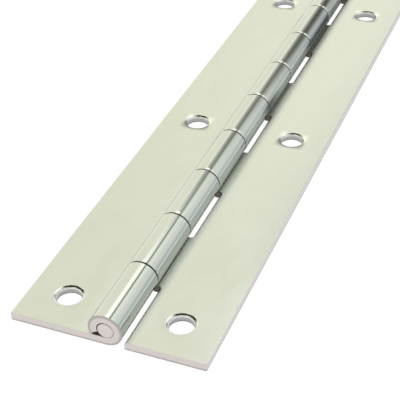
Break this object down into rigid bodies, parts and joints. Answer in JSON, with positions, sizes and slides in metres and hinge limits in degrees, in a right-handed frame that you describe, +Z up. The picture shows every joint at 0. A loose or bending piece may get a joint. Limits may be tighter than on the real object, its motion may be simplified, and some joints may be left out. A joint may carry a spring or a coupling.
{
  "type": "piano hinge",
  "caption": "Continuous piano hinge: two flat punched steel leaves with knuckles rolled round one full-length pin, lying open.",
  "frame": {"origin": "middle of the hinge's length, straight below the pin, on the plane of the leaves' backs", "axes": "+X across the hinge from the left leaf to the right leaf, +Y along the pin, +Z up from the leaves' backs towards the barrel"},
  "size_m": [0.06, 0.325, 0.0105],
  "materials": {
    "left_leaf_steel": "bright plated sheet, satin, faint lengthwise rolling grain",
    "right_leaf_steel": "bright plated sheet, satin, faint lengthwise rolling grain",
    "pin_steel": "drawn wire, cropped end with fine saw marks"
  },
  "bodies": {
    "fixed_leaf": {"left_leaf": "left_leaf_steel", "hinge_pin": "pin_steel"},
    "turning_leaf": {"right_leaf": "right_leaf_steel"}
  },
  "joints": [
    {"name": "leaf_swing", "type": "hinge", "parent": "fixed_leaf", "child": "turning_leaf", "pos_m": [0, 0, 0.00525], "axis": [0, -1, 0], "range_deg": [-90, 180]}
  ]
}
